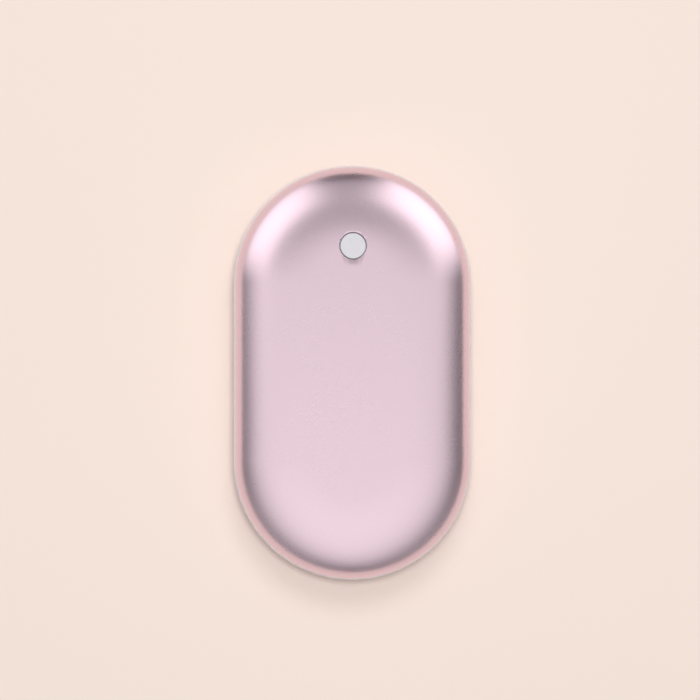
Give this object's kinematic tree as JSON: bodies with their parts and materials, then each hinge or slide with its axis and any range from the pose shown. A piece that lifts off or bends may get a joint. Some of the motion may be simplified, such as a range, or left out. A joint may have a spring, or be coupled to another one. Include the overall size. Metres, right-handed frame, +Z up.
{
  "type": "rechargeable hand warmer",
  "caption": "Pocket hand warmer of pebble shape: two domed metal shells on a plastic band, a round push button near one end and two sockets in the band.",
  "frame": {"origin": "on the floor, under the middle of the hand warmer as it lies on its back", "axes": "+Z up out of the button face, +Y along the pebble towards the button and the sockets, +X across it"},
  "size_m": [0.0576, 0.1006, 0.027],
  "materials": {
    "rose_aluminium": "rose-pink anodised over a fine bead-blasted grain",
    "white_plastic": "smooth white moulding",
    "translucent_plastic": "frosted translucent white",
    "black_plastic": "black moulding",
    "heating_film": "amber polyimide film",
    "foam": "dark grey foam",
    "pouch": "silver laminate foil",
    "tape": "double-sided tape",
    "circuit_board": "green solder mask",
    "steel": "plated steel",
    "gold_contact": "gold-plated contact",
    "ferrite": "dark ferrite",
    "red_insulation": "red wire insulation",
    "lamp": "clear lamp body",
    "probe_epoxy": "dark epoxy bead"
  },
  "bodies": {
    "casing": {"front_shell": "rose_aluminium", "rear_shell": "rose_aluminium", "mid_frame": "white_plastic", "front_liner": "white_plastic", "rear_liner": "white_plastic", "front_heater": "heating_film", "rear_heater": "heating_film", "front_foam": "foam", "rear_foam": "foam", "cell_front": "pouch", "cell_rear": "pouch", "cell_tape": "tape", "protection_board": "circuit_board", "protection_chip": "black_plastic", "battery_lead_red": "red_insulation", "battery_lead_black": "black_plastic", "main_board": "circuit_board", "switch_body": "black_plastic", "led_1": "lamp", "led_2": "lamp", "led_3": "lamp", "led_4": "lamp", "control_chip": "black_plastic", "charge_chip": "black_plastic", "mosfet_1": "black_plastic", "mosfet_2": "black_plastic", "boost_inductor": "ferrite", "capacitor_1": "pouch", "capacitor_2": "pouch", "usb_a_shell": "steel", "usb_a_tongue": "white_plastic", "usb_a_contact_1": "gold_contact", "usb_a_contact_2": "gold_contact", "usb_a_contact_3": "gold_contact", "usb_a_contact_4": "gold_contact", "usb_c_shell": "steel", "usb_c_tongue": "black_plastic", "front_heater_lead_1": "red_insulation", "front_heater_lead_2": "red_insulation", "rear_heater_lead_1": "red_insulation", "rear_heater_lead_2": "red_insulation", "thermistor": "probe_epoxy", "thermistor_lead": "black_plastic", "board_screw_1": "steel", "board_screw_2": "steel", "case_screw_1": "steel", "case_screw_2": "steel", "case_screw_3": "steel", "case_screw_4": "steel"},
    "button": {"button_cap": "translucent_plastic"},
    "plunger": {"switch_plunger": "translucent_plastic"}
  },
  "joints": [
    {"name": "button_press", "type": "slide", "parent": "casing", "child": "button", "axis": [0, 0, -1], "range_m": [0, 0.0004], "stiffness_N_per_m": 2000},
    {"name": "plunger_travel", "type": "slide", "parent": "casing", "child": "plunger", "axis": [0, 0, -1], "range_m": [0, 0.0004]}
  ],
  "couplings": [
    {"joint": "plunger_travel", "follows": "button_press", "ratio": 1}
  ]
}
